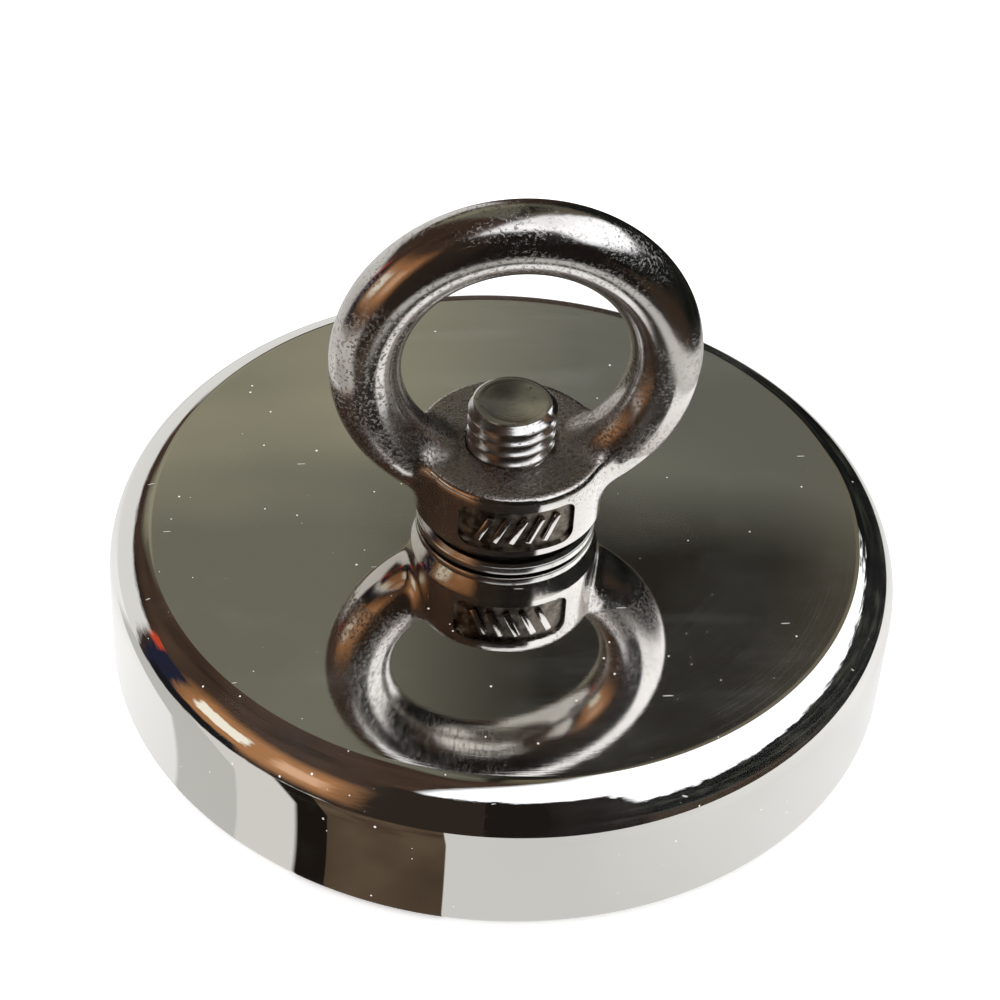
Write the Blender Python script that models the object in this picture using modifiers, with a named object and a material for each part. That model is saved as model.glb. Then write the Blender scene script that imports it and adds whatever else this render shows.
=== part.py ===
"""A single-sided magnet fishing magnet.

A steel pot holds a ring of arc magnets, set in epoxy round a sleeve. A countersunk bolt passes up
through the pot, and an eye nut screws down on it over a flat washer. The origin is at the middle
of the pull face, with +Z towards the eye. The eye's ring stands in the XZ plane.
"""

import math

import bmesh
import bpy

MM = 0.001

# Gap left where two pieces touch
CONTACT_GAP = 0.3 * MM

# Pot
POT_RADIUS = 45.0 * MM
POT_HEIGHT = 18.0 * MM
POT_WALL = 5.0 * MM
POT_BASE = 8.0 * MM
SHOULDER_RADIUS = 6.0 * MM
SHOULDER_FLAT_INSET = 4.75 * MM
RIM_EDGE_RADIUS = 1.2 * MM
RIM_INNER_CHAMFER = 0.4 * MM
CAVITY_FILLET = 1.5 * MM
BOLT_HOLE_CLEARANCE = 0.35 * MM

# Magnets and what they are set in
MAGNET_COUNT = 8
MAGNET_RECESS = 0.3 * MM
POTTING_RECESS = 0.5 * MM
OUTER_POTTING_WIDTH = 2.0 * MM
INNER_POTTING_WIDTH = 1.2 * MM
BOND_THICKNESS = 0.4 * MM
SLEEVE_WALL = 1.5 * MM
SLEEVE_CLEARANCE = 0.6 * MM

# Bolt, M10 with a 90 degree countersunk head and a hexagon socket
BOLT_LENGTH = 25.0 * MM
BOLT_HEAD_RADIUS = 9.9 * MM
BOLT_HEAD_RIM = 0.5 * MM
BOLT_TIP_CHAMFER = 0.6 * MM
SOCKET_ACROSS_FLATS = 6.0 * MM
SOCKET_DEPTH = 3.6 * MM
COUNTERSINK_CLEARANCE = 0.42 * MM

# Thread
THREAD_RADIUS = 4.95 * MM
THREAD_PITCH = 1.5 * MM
THREAD_DEPTH = 0.87 * MM
THREAD_CREST = 0.2 * MM
THREAD_FLANK = math.radians(30.0)
THREAD_CLEARANCE = 0.12 * MM
THREAD_SINK = 0.25 * MM

# Washer
WASHER_RADIUS = 10.2 * MM
WASHER_THICKNESS = 1.0 * MM
WASHER_EDGE = 0.15 * MM

# Eye nut
RING_SECTION = 8.0 * MM
RING_HOLE = 25.0 * MM
RING_RISE = 21.3 * MM
COLLAR_RADIUS = 10.7 * MM
COLLAR_TOP = 10.1 * MM
COLLAR_TOP_ROUND = 0.7 * MM
NECK_HEIGHT = 1.6 * MM
NECK_RADIUS = 9.3 * MM
NECK_STEP = 0.3 * MM
BORE_CHAMFER = 0.35 * MM
CARTOUCHE_WIDTH = 12.8 * MM
CARTOUCHE_HEIGHT = 5.6 * MM
CARTOUCHE_CENTRE = 5.5 * MM
CARTOUCHE_DEPTH = 0.45 * MM
CARTOUCHE_CORNER = 1.3 * MM

# Facets
POT_STEPS = 64
SMALL_STEPS = 40
THREAD_STEPS = 24
ARC_STEPS = 6
MAGNET_ARC_STEPS = 6
RING_STEPS = 48
SECTION_STEPS = 14
SMOOTH_ANGLE = math.radians(35.0)
MERGE = 0.00001

# Heights that follow from the sizes above
CAVITY_FLOOR = POT_HEIGHT - POT_BASE
CAVITY_RADIUS = POT_RADIUS - POT_WALL
BOLT_TIP = CAVITY_FLOOR + BOLT_LENGTH
WASHER_BASE = POT_HEIGHT + CONTACT_GAP
NUT_BASE = WASHER_BASE + WASHER_THICKNESS + CONTACT_GAP
BOLT_HOLE_RADIUS = THREAD_RADIUS + BOLT_HOLE_CLEARANCE
RING_RADIUS = (RING_HOLE + RING_SECTION) / 2

# Radii of the rings in the cavity, from the middle outwards
SLEEVE_INNER = BOLT_HEAD_RADIUS + SLEEVE_CLEARANCE
SLEEVE_OUTER = SLEEVE_INNER + SLEEVE_WALL
INNER_POTTING_INNER = SLEEVE_OUTER + CONTACT_GAP
INNER_POTTING_OUTER = INNER_POTTING_INNER + INNER_POTTING_WIDTH
MAGNET_INNER = INNER_POTTING_OUTER + CONTACT_GAP
OUTER_POTTING_OUTER = CAVITY_RADIUS - CONTACT_GAP
OUTER_POTTING_INNER = OUTER_POTTING_OUTER - OUTER_POTTING_WIDTH
MAGNET_OUTER = OUTER_POTTING_INNER - CONTACT_GAP

# Heights of the layers in the cavity
FILL_TOP = CAVITY_FLOOR - CONTACT_GAP
BOND_BOTTOM = FILL_TOP - BOND_THICKNESS
MAGNET_TOP = BOND_BOTTOM - CONTACT_GAP


def clear_scene():
    for obj in list(bpy.data.objects):
        bpy.data.objects.remove(obj, do_unlink=True)


def new_collection(name, hidden):
    collection = bpy.data.collections.new(name)
    collection.hide_render = hidden
    bpy.context.scene.collection.children.link(collection)
    return collection


def new_material(name, colour, roughness, metallic):
    material = bpy.data.materials.new(name)
    material.use_nodes = True
    shader = material.node_tree.nodes["Principled BSDF"]
    shader.inputs["Base Color"].default_value = (*colour, 1.0)
    shader.inputs["Roughness"].default_value = roughness
    shader.inputs["Metallic"].default_value = metallic
    material.diffuse_color = (*colour, 1.0)
    return material


def new_object(name, data, collection, material=None):
    obj = bpy.data.objects.new(name, data)
    collection.objects.link(obj)
    if material:
        obj.data.materials.append(material)
    return obj


def arc(centre, radius, start, end, steps):
    """Points in (radius, height) round a centre, from one angle in degrees to another."""
    angles = [math.radians(start + (end - start) * i / steps) for i in range(steps + 1)]
    return [(centre[0] + radius * math.cos(a), centre[1] + radius * math.sin(a)) for a in angles]


def outline_mesh(name, profile):
    """A closed outline in the XZ plane, which runs down its outer side."""
    count = len(profile)
    mesh = bpy.data.meshes.new(name)
    edges = [(i, (i + 1) % count) for i in range(count)]
    mesh.from_pydata([(r, 0.0, z) for r, z in profile], edges, [])
    return mesh


def turn(obj, steps, pitch=0.0, turns=1):
    """Turns the outline of an object about Z. With a pitch it climbs, as a thread does."""
    screw = obj.modifiers.new("Turn", "SCREW")
    screw.axis = "Z"
    screw.angle = math.tau
    screw.steps = steps
    screw.render_steps = steps
    screw.screw_offset = pitch
    screw.iterations = turns
    screw.use_merge_vertices = pitch == 0.0
    screw.merge_threshold = MERGE
    return screw


def turned(name, profile, steps, collection, material=None):
    obj = new_object(name, outline_mesh(name, profile), collection, material)
    turn(obj, steps)
    return obj


def helper(obj):
    """Marks an object that only cuts or joins another."""
    obj.hide_render = True
    obj.display_type = "WIRE"
    return obj


def boolean(obj, other, operation):
    modifier = obj.modifiers.new(f"{operation} {other.name}", "BOOLEAN")
    modifier.operation = operation
    modifier.solver = "EXACT"
    modifier.object = other


def to_mesh_object(obj, collection, cap_ends=False):
    """Replaces an object by the mesh that its modifiers make, with open ends capped."""
    bpy.context.view_layer.update()
    graph = bpy.context.evaluated_depsgraph_get()
    mesh = bpy.data.meshes.new_from_object(obj.evaluated_get(graph), depsgraph=graph)
    name, matrix = obj.name, obj.matrix_world.copy()
    bpy.data.objects.remove(obj, do_unlink=True)
    work = bmesh.new()
    work.from_mesh(mesh)
    bmesh.ops.remove_doubles(work, verts=work.verts, dist=MERGE)
    if cap_ends:
        open_edges = [edge for edge in work.edges if edge.is_boundary]
        bmesh.ops.holes_fill(work, edges=open_edges, sides=0)
        bmesh.ops.recalc_face_normals(work, faces=work.faces)
    work.to_mesh(mesh)
    work.free()
    made = new_object(name, mesh, collection)
    made.matrix_world = matrix
    return made


def smooth(obj):
    """Stores smooth shading on a piece, sharp across its real edges."""
    material = obj.data.materials[0] if obj.data.materials else None
    collection = obj.users_collection[0]
    made = to_mesh_object(obj, collection)
    made.data.shade_smooth()
    made.data.set_sharp_from_angle(angle=SMOOTH_ANGLE)
    made.data.materials.clear()
    if material:
        made.data.materials.append(material)
    return made


def thread_ridge(name, bottom, top, clearance, cutters):
    """One helical ridge from below bottom to above top. A clearance grows it, to cut a nut."""
    side = clearance / math.cos(THREAD_FLANK)
    slope = math.tan(THREAD_FLANK)
    crest = THREAD_RADIUS + clearance
    root = THREAD_RADIUS - THREAD_DEPTH - THREAD_SINK
    crest_half = THREAD_CREST / 2 + side - clearance * slope
    root_half = crest_half + (crest - root) * slope
    outline = [(root, root_half), (crest, crest_half), (crest, -crest_half), (root, -root_half)]
    turns = math.ceil((top - bottom) / THREAD_PITCH) + 2
    # The ridge passes the same height at the same angle in the bolt and in the nut
    start = (math.floor(bottom / THREAD_PITCH) - 1) * THREAD_PITCH
    ridge = new_object(name, outline_mesh(name, outline), cutters)
    turn(ridge, THREAD_STEPS, THREAD_PITCH, turns)
    ridge.location.z = start
    return helper(to_mesh_object(ridge, cutters, cap_ends=True))


def pot_profile():
    top_flat = POT_RADIUS - SHOULDER_FLAT_INSET
    arc_radius = POT_RADIUS - SHOULDER_RADIUS
    arc_drop = math.sqrt(SHOULDER_RADIUS**2 - (top_flat - arc_radius) ** 2)
    shoulder = (arc_radius, POT_HEIGHT - arc_drop)
    start = math.degrees(math.atan2(arc_drop, top_flat - arc_radius))
    rim = (POT_RADIUS - RIM_EDGE_RADIUS, RIM_EDGE_RADIUS)
    fillet = (CAVITY_RADIUS - CAVITY_FILLET, CAVITY_FLOOR - CAVITY_FILLET)
    mouth = BOLT_HEAD_RADIUS + COUNTERSINK_CLEARANCE
    cone_base = CAVITY_FLOOR + BOLT_HEAD_RIM
    return [
        (BOLT_HOLE_RADIUS, POT_HEIGHT),
        *arc(shoulder, SHOULDER_RADIUS, start, 0, ARC_STEPS),
        *arc(rim, RIM_EDGE_RADIUS, 0, -90, 3),
        (CAVITY_RADIUS + RIM_INNER_CHAMFER, 0),
        (CAVITY_RADIUS, RIM_INNER_CHAMFER),
        *arc(fillet, CAVITY_FILLET, 0, 90, 3),
        (mouth, CAVITY_FLOOR),
        (mouth, cone_base),
        (BOLT_HOLE_RADIUS, cone_base + mouth - BOLT_HOLE_RADIUS),
    ]


def make_pot(parts):
    steel = new_material("Plated steel", (0.72, 0.71, 0.68), 0.06, 1.0)
    return smooth(turned("pot_shell", pot_profile(), POT_STEPS, parts, steel))


def ring_profile(inner, outer, bottom, top, top_edge=0.0, bottom_edge=0.0):
    """A ring's section, with its outer corners cut off by the sizes of its edges."""
    points = [(inner, top), (outer - top_edge, top)]
    if top_edge:
        points.append((outer, top - top_edge))
    if bottom_edge:
        points.append((outer, bottom + bottom_edge))
    points += [(outer - bottom_edge, bottom), (inner, bottom)]
    return points


def make_cavity_rings(parts):
    """The sleeve, the two potted rings and the layer that bonds the magnets to the pot.

    Each has its inner and outer radius, its bottom, the cut on its top outer corner, its facets
    and its material.
    """
    stainless = new_material("Sleeve steel", (0.62, 0.61, 0.58), 0.3, 1.0)
    epoxy = new_material("Potting epoxy", (0.03, 0.03, 0.032), 0.35, 0.0)
    bond = new_material("Bond epoxy", (0.45, 0.42, 0.33), 0.4, 0.0)
    sleeve = (SLEEVE_INNER, SLEEVE_OUTER, MAGNET_RECESS, 0.0, SMALL_STEPS, stainless)
    inner = (INNER_POTTING_INNER, INNER_POTTING_OUTER, POTTING_RECESS, 0.0, SMALL_STEPS, epoxy)
    layer = (MAGNET_INNER, MAGNET_OUTER, BOND_BOTTOM, 0.0, POT_STEPS, bond)
    outer = (OUTER_POTTING_INNER, OUTER_POTTING_OUTER, POTTING_RECESS, CAVITY_FILLET, POT_STEPS, epoxy)
    rings = {
        "centre_sleeve": sleeve,
        "inner_potting": inner,
        "magnet_bond_layer": layer,
        "outer_potting": outer,
    }
    for name, (inside, outside, bottom, corner, steps, material) in rings.items():
        profile = ring_profile(inside, outside, bottom, FILL_TOP, corner)
        smooth(turned(name, profile, steps, parts, material))


def make_magnets(parts):
    """The arc magnets. The gaps between them have parallel sides."""
    nickel = new_material("Magnet plating", (0.70, 0.69, 0.66), 0.16, 1.0)
    pitch = math.tau / MAGNET_COUNT
    for number in range(MAGNET_COUNT):
        points = []
        for radius, direction in ((MAGNET_OUTER, 1), (MAGNET_INNER, -1)):
            half = pitch / 2 - math.asin(CONTACT_GAP / 2 / radius)
            for step in range(MAGNET_ARC_STEPS + 1):
                angle = number * pitch + direction * half * (2 * step / MAGNET_ARC_STEPS - 1)
                points.append((radius * math.cos(angle), radius * math.sin(angle)))
        name = f"arc_magnet_{number + 1}"
        curve = bpy.data.curves.new(name, "CURVE")
        curve.dimensions = "2D"
        curve.fill_mode = "BOTH"
        curve.extrude = (MAGNET_TOP - MAGNET_RECESS) / 2
        spline = curve.splines.new("POLY")
        spline.points.add(len(points) - 1)
        for point, (x, y) in zip(spline.points, points):
            point.co = (x, y, 0.0, 1.0)
        spline.use_cyclic_u = True
        magnet = new_object(name, curve, parts, nickel)
        magnet.location.z = (MAGNET_TOP + MAGNET_RECESS) / 2


def make_bolt(parts, cutters):
    steel = new_material("Bolt steel", (0.58, 0.56, 0.53), 0.22, 1.0)
    core = THREAD_RADIUS - THREAD_DEPTH
    cone_base = CAVITY_FLOOR + BOLT_HEAD_RIM
    cone_top = cone_base + BOLT_HEAD_RADIUS - core
    blank_top = BOLT_TIP + THREAD_PITCH
    blank = [
        (0.0, blank_top),
        (core, blank_top),
        (core, cone_top),
        (BOLT_HEAD_RADIUS, cone_base),
        (BOLT_HEAD_RADIUS, CAVITY_FLOOR),
        (0.0, CAVITY_FLOOR),
    ]
    bolt = turned("countersunk_bolt", blank, THREAD_STEPS, parts, steel)
    ridge = thread_ridge("bolt_thread", cone_top - THREAD_PITCH, blank_top, 0.0, cutters)
    boolean(bolt, ridge, "UNION")

    # The bolt is cut to length, with a chamfer that runs the thread out at the tip
    outside = BOLT_HEAD_RADIUS + CONTACT_GAP
    envelope_profile = [
        (0.0, BOLT_TIP),
        (THREAD_RADIUS - BOLT_TIP_CHAMFER, BOLT_TIP),
        (outside, BOLT_TIP - BOLT_TIP_CHAMFER - outside + THREAD_RADIUS),
        (outside, CAVITY_FLOOR - CONTACT_GAP),
        (0.0, CAVITY_FLOOR - CONTACT_GAP),
    ]
    envelope = helper(turned("bolt_envelope", envelope_profile, THREAD_STEPS, cutters))
    boolean(bolt, envelope, "INTERSECT")

    socket_mesh = bpy.data.meshes.new("hexagon_socket")
    work = bmesh.new()
    corner = SOCKET_ACROSS_FLATS / 2 / math.cos(math.radians(30.0))
    bmesh.ops.create_cone(
        work, cap_ends=True, segments=6, radius1=corner, radius2=corner, depth=SOCKET_DEPTH * 2
    )
    work.to_mesh(socket_mesh)
    work.free()
    socket = helper(new_object("hexagon_socket", socket_mesh, cutters))
    socket.location.z = CAVITY_FLOOR
    boolean(bolt, socket, "DIFFERENCE")
    return smooth(bolt)


def make_washer(parts):
    steel = new_material("Washer steel", (0.66, 0.65, 0.62), 0.18, 1.0)
    top = WASHER_BASE + WASHER_THICKNESS
    profile = ring_profile(
        BOLT_HOLE_RADIUS, WASHER_RADIUS, WASHER_BASE, top, WASHER_EDGE, WASHER_EDGE
    )
    return smooth(turned("flat_washer", profile, SMALL_STEPS, parts, steel))


def collar_profile():
    """The nut's solid body, from the top on the axis down to its seat."""
    top_round = (COLLAR_RADIUS - COLLAR_TOP_ROUND, COLLAR_TOP - COLLAR_TOP_ROUND)
    return [
        (0.0, COLLAR_TOP),
        *arc(top_round, COLLAR_TOP_ROUND, 90, 0, 3),
        (COLLAR_RADIUS, NECK_HEIGHT + NECK_STEP),
        (COLLAR_RADIUS - NECK_STEP, NECK_HEIGHT),
        (NECK_RADIUS, 0.0),
        (0.0, 0.0),
    ]


def bore_profile():
    """The cutter for the nut's hole, flared at both mouths."""
    radius = THREAD_RADIUS - THREAD_DEPTH + CONTACT_GAP
    flare = THREAD_RADIUS + THREAD_CLEARANCE + BORE_CHAMFER
    rise = flare - radius
    return [
        (0.0, COLLAR_TOP + rise),
        (flare + rise, COLLAR_TOP + rise),
        (radius, COLLAR_TOP - rise),
        (radius, rise),
        (flare + rise, -rise),
        (0.0, -rise),
    ]


def make_cartouche_cutter(cutters):
    """A rounded plate bent to the collar: a bevelled box less the cylinder of the panel's floor."""
    mesh = bpy.data.meshes.new("cartouche")
    work = bmesh.new()
    bmesh.ops.create_cube(work, size=1.0)
    size = (CARTOUCHE_WIDTH, COLLAR_RADIUS, CARTOUCHE_HEIGHT)
    bmesh.ops.scale(work, vec=size, verts=work.verts)
    upright = [e for e in work.edges if abs(e.verts[0].co.y - e.verts[1].co.y) > COLLAR_RADIUS / 2]
    bmesh.ops.bevel(
        work, geom=upright, offset=CARTOUCHE_CORNER, segments=4, profile=0.5, affect="EDGES"
    )
    work.to_mesh(mesh)
    work.free()
    panel = helper(new_object("cartouche", mesh, cutters))
    panel.location = (0.0, -COLLAR_RADIUS, NUT_BASE + CARTOUCHE_CENTRE)
    floor_radius = COLLAR_RADIUS - CARTOUCHE_DEPTH
    floor_profile = ring_profile(0.0, floor_radius, -CARTOUCHE_HEIGHT, CARTOUCHE_HEIGHT)
    floor = helper(turned("cartouche_floor", floor_profile, SMALL_STEPS, cutters))
    floor.location.z = NUT_BASE + CARTOUCHE_CENTRE
    boolean(panel, floor, "DIFFERENCE")
    return panel


def make_eye_nut(parts, cutters):
    steel = new_material("Eye nut steel", (0.55, 0.52, 0.49), 0.28, 1.0)
    nut = turned("eye_nut", collar_profile(), SMALL_STEPS, parts, steel)
    nut.location.z = NUT_BASE

    bpy.ops.mesh.primitive_torus_add(
        major_segments=RING_STEPS,
        minor_segments=SECTION_STEPS,
        major_radius=RING_RADIUS,
        minor_radius=RING_SECTION / 2,
        location=(0.0, 0.0, NUT_BASE + RING_RISE),
        rotation=(math.pi / 2, 0.0, 0.0),
    )
    ring = helper(bpy.context.object)
    ring.name = "ring"
    bpy.context.collection.objects.unlink(ring)
    cutters.objects.link(ring)
    boolean(nut, ring, "UNION")

    bore = helper(turned("nut_bore", bore_profile(), THREAD_STEPS, cutters))
    bore.location.z = NUT_BASE
    boolean(nut, bore, "DIFFERENCE")
    top = NUT_BASE + COLLAR_TOP
    groove = thread_ridge("nut_thread", NUT_BASE, top, THREAD_CLEARANCE, cutters)
    boolean(nut, groove, "DIFFERENCE")
    boolean(nut, make_cartouche_cutter(cutters), "DIFFERENCE")
    return smooth(nut)


def main():
    clear_scene()
    parts = new_collection("magnet fishing magnet", hidden=False)
    cutters = new_collection("cutters", hidden=True)
    make_pot(parts)
    make_cavity_rings(parts)
    make_magnets(parts)
    make_bolt(parts, cutters)
    make_washer(parts)
    make_eye_nut(parts, cutters)


main()
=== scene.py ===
"""Looks of a magnet fishing magnet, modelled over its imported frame.

The pot, bolt, washer, eye nut, magnets, sleeve and epoxy are each remade finely at the places and
sizes that the frame gives, and a plain studio is set up round them.
"""

import math

import bmesh
import bpy
from bpy.props import FloatProperty, FloatVectorProperty, IntProperty, PointerProperty
from mathutils import Matrix, Vector


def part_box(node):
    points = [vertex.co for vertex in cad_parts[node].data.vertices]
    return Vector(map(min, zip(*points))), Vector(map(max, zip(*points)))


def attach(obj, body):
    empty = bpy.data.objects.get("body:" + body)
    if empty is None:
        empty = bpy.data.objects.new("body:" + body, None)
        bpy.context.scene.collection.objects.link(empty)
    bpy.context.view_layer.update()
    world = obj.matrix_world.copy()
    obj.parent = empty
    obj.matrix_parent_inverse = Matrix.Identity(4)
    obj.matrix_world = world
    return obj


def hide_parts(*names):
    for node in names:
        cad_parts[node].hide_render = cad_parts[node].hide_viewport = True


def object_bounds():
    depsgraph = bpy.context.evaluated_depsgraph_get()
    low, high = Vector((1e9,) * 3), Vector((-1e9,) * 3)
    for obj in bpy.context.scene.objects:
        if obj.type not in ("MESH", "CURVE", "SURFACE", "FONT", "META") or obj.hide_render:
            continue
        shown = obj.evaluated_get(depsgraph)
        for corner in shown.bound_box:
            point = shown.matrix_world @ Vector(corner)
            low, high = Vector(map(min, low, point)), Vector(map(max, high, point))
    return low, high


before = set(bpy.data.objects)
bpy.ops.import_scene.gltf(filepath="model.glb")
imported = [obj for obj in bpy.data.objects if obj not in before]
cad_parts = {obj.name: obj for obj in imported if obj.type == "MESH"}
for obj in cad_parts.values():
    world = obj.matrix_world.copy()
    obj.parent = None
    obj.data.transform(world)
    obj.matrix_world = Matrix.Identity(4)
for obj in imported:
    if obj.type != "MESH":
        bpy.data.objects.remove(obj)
CAD_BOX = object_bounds()

bl_info = {
    "name": "Fishing magnet",
    "version": (1, 0, 0),
    "blender": (4, 5, 0),
    "location": "3D View > Sidebar > Fishing magnet",
    "description": "Models a single-sided magnet fishing magnet and a small studio round it",
    "category": "Object",
}

MM = 0.001
NEAR = 0.02 * MM
WELD = 0.001 * MM

POT_LOW, POT_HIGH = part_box("pot_shell")
BOLT_LOW, BOLT_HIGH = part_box("countersunk_bolt")
WASHER_LOW, WASHER_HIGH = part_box("flat_washer")
NUT_LOW, NUT_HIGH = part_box("eye_nut")
SLEEVE_LOW, SLEEVE_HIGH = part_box("centre_sleeve")
OUTER_LOW, OUTER_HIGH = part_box("outer_potting")
INNER_LOW, INNER_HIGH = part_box("inner_potting")
BOND_LOW, BOND_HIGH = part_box("magnet_bond_layer")
MAGNET_LOW, MAGNET_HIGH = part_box("arc_magnet_1")
MAGNETS = sorted(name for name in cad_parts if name.startswith("arc_magnet_"))


def length(name, description, default):
    return FloatProperty(
        name=name, description=description, default=default, min=0.0, unit="LENGTH"
    )


def tint(name, description, default):
    return FloatVectorProperty(
        name=name, description=description, default=default, min=0.0, max=1.0, subtype="COLOR"
    )


class PotSizes(bpy.types.PropertyGroup):
    radius: length("Radius", "Outside of the pot's wall", POT_HIGH.x)
    height: length("Height", "Pull face to flat top", POT_HIGH.z)
    shoulder: length("Shoulder radius", "Round between the wall and the top", 6.0 * MM)
    shoulder_rise: length("Shoulder rise", "How far the round would pass the flat top", 0.13 * MM)
    crease: length("Crease", "Tiny round where the flat top was skimmed", 0.22 * MM)
    rim_edge: length("Rim edge", "Round at the outside of the pull face", 1.2 * MM)
    wall: length("Wall", "Thickness of the side wall", 5.0 * MM)
    mouth: length("Mouth chamfer", "Chamfer round the cavity's mouth", 0.4 * MM)
    floor: length("Floor height", "Pull face to the cavity's floor", BOLT_LOW.z)
    fillet: length("Cavity fillet", "Round at the edge of the cavity's floor", 1.5 * MM)
    countersink: length("Countersink", "Radius of the countersink's mouth", 10.32 * MM)
    bolt_hole: length("Bolt hole", "Radius of the hole through the base", 5.3 * MM)


class InsideSizes(bpy.types.PropertyGroup):
    magnet_inner: length("Magnet inner radius", "Inside of the magnet arcs", 13.8 * MM)
    magnet_gap: length("Magnet gap", "Gap between neighbouring arcs", 0.3 * MM)
    magnet_edge: length("Magnet edge", "Round on the edges of a magnet", 0.35 * MM)
    sleeve_inner: length("Sleeve bore", "Inside radius of the sleeve", 10.5 * MM)
    sleeve_edge: length("Sleeve edge", "Chamfer on the sleeve", 0.3 * MM)
    inner_epoxy: length("Inner epoxy", "Inside radius of the epoxy by the sleeve", 12.3 * MM)
    outer_epoxy: length("Outer epoxy", "Inside radius of the epoxy by the wall", 37.7 * MM)
    bond_inner: length("Bond layer", "Inside radius of the bond layer", 13.8 * MM)
    bond_edge: length("Bond edge", "Round on the bond layer's edges", 0.1 * MM)
    meniscus: length("Meniscus", "Dip of the epoxy between its edges", 0.25 * MM)


class BoltSizes(bpy.types.PropertyGroup):
    thread: length("Thread radius", "Over the crests of the thread", 4.95 * MM)
    depth: length("Thread depth", "Crest to root", 0.87 * MM)
    pitch: length("Pitch", "Rise of the thread in one turn", 1.5 * MM)
    crest: length("Crest", "Flat on top of the thread", 0.22 * MM)
    root: length("Root", "Flat at the bottom of the thread", 0.2 * MM)
    head_rim: length("Head rim", "Upright edge of the head", 0.5 * MM)
    head_edge: length("Head edge", "Round at the head's outer edge", 0.2 * MM)
    sink: length("Sink", "How far the head runs on into the thread", 0.5 * MM)
    tip_chamfer: length("Tip chamfer", "Chamfer that leads the thread in", 0.62 * MM)
    tip_break: length("Tip break", "Round between the chamfer and the end face", 0.2 * MM)
    tip_rim: length("Tip rim", "Raised rim round the turned end", 0.75 * MM)
    tip_dish: length("Tip dish", "How far the end is dished", 0.14 * MM)
    socket: length("Socket", "Across the flats of the hexagon", 6.0 * MM)
    socket_depth: length("Socket depth", "Depth of the hexagon", 3.6 * MM)
    socket_step: length("Socket step", "Step in from the hexagon to the drilled hole", 0.3 * MM)
    drill_tip: length("Drill tip", "Radius at the bottom of the drilled hole", 0.2 * MM)
    drill_point: length("Drill point", "How far the drilled tip goes past the hexagon", 1.2 * MM)


class WasherSizes(bpy.types.PropertyGroup):
    hole: length("Hole", "Radius of the washer's hole", 5.3 * MM)
    edge: length("Edge", "Round on the washer's edges", 0.16 * MM)


class EyeNutSizes(bpy.types.PropertyGroup):
    section: length("Ring section", "Diameter of the ring's bar", 8.0 * MM)
    hole: length("Ring hole", "Inside diameter of the ring", 25.0 * MM)
    collar: length("Collar radius", "Outside of the collar", 10.7 * MM)
    collar_top: length("Collar top", "Height of the collar's flat top", 10.1 * MM)
    top_round: length("Top round", "Round on the collar's top edge", 0.45 * MM)
    neck: length("Neck radius", "Narrowest radius, at the seat", 9.3 * MM)
    neck_height: length("Neck height", "Height of the flared neck", 1.6 * MM)
    neck_step: length("Neck step", "Step from the flare out to the collar", 0.3 * MM)
    bore_lead: length("Bore lead", "How far the bore's chamfer passes the thread", 0.3 * MM)
    voxel: length("Casting grid", "Grid on which the ring and collar are blended", 0.26 * MM)
    smoothing: IntProperty(
        name="Smoothing", description="Passes that take the grid's steps out", default=10, min=0
    )
    fillet: length("Fillet", "Round where the ring runs into the collar", 1.7 * MM)
    spare: length("Spare", "Extra length under the collar, cut off again", 4.0 * MM)
    panel_width: length("Panel width", "Width of the panel before it is bent", 12.8 * MM)
    panel_height: length("Panel height", "Height of the panel", 5.6 * MM)
    panel_corner: length("Panel corner", "Round on the panel's corners", 1.3 * MM)
    panel_depth: length("Panel depth", "Depth of the panel", 0.45 * MM)
    panel_rise: length("Panel centre", "Seat to the middle of the panel", 5.5 * MM)
    thread_room: length("Thread clearance", "Room between the threads", 0.12 * MM)
    marks: IntProperty(name="Marks", description="Raised bars in the panel", default=5, min=1)
    mark_width: length("Mark width", "Width of a raised bar", 0.78 * MM)
    mark_inset: length("Mark inset", "Collar's surface to the middle of a bar", 0.56 * MM)
    mark_edge: length("Mark edge", "Round on a bar's edges", 0.15 * MM)
    mark_share: FloatProperty(
        name="Mark height", description="Share of the panel's height that a bar takes up",
        default=0.66, min=0.0, max=1.0,
    )
    mark_slant: FloatProperty(
        name="Mark slant", description="Lean of the raised bars", default=math.radians(24.0),
        subtype="ANGLE",
    )
    mark_step: FloatProperty(
        name="Mark step", description="Angle about the axis from one bar to the next",
        default=math.radians(10.4), subtype="ANGLE",
    )


class Finishes(bpy.types.PropertyGroup):
    nickel: tint("Polished nickel", "Plating on the pot", (0.84, 0.825, 0.79))
    cast: tint("Cast stainless", "The eye nut", (0.66, 0.63, 0.595))
    soil: tint("Soil", "Dark film in the casting's pits", (0.10, 0.085, 0.07))
    bolt: tint("Bolt steel", "The bolt", (0.68, 0.655, 0.62))
    washer: tint("Washer steel", "The washer", (0.74, 0.72, 0.68))
    sleeve: tint("Sleeve steel", "The sleeve", (0.60, 0.585, 0.56))
    magnet: tint("Magnet plating", "Nickel on the magnets", (0.72, 0.70, 0.665))
    epoxy: tint("Epoxy", "Black epoxy", (0.012, 0.012, 0.013))
    bond: tint("Bond", "Adhesive under the magnets", (0.30, 0.26, 0.17))
    dust: tint("Dust", "Specks of dust on the polish", (0.80, 0.78, 0.74))


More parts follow.
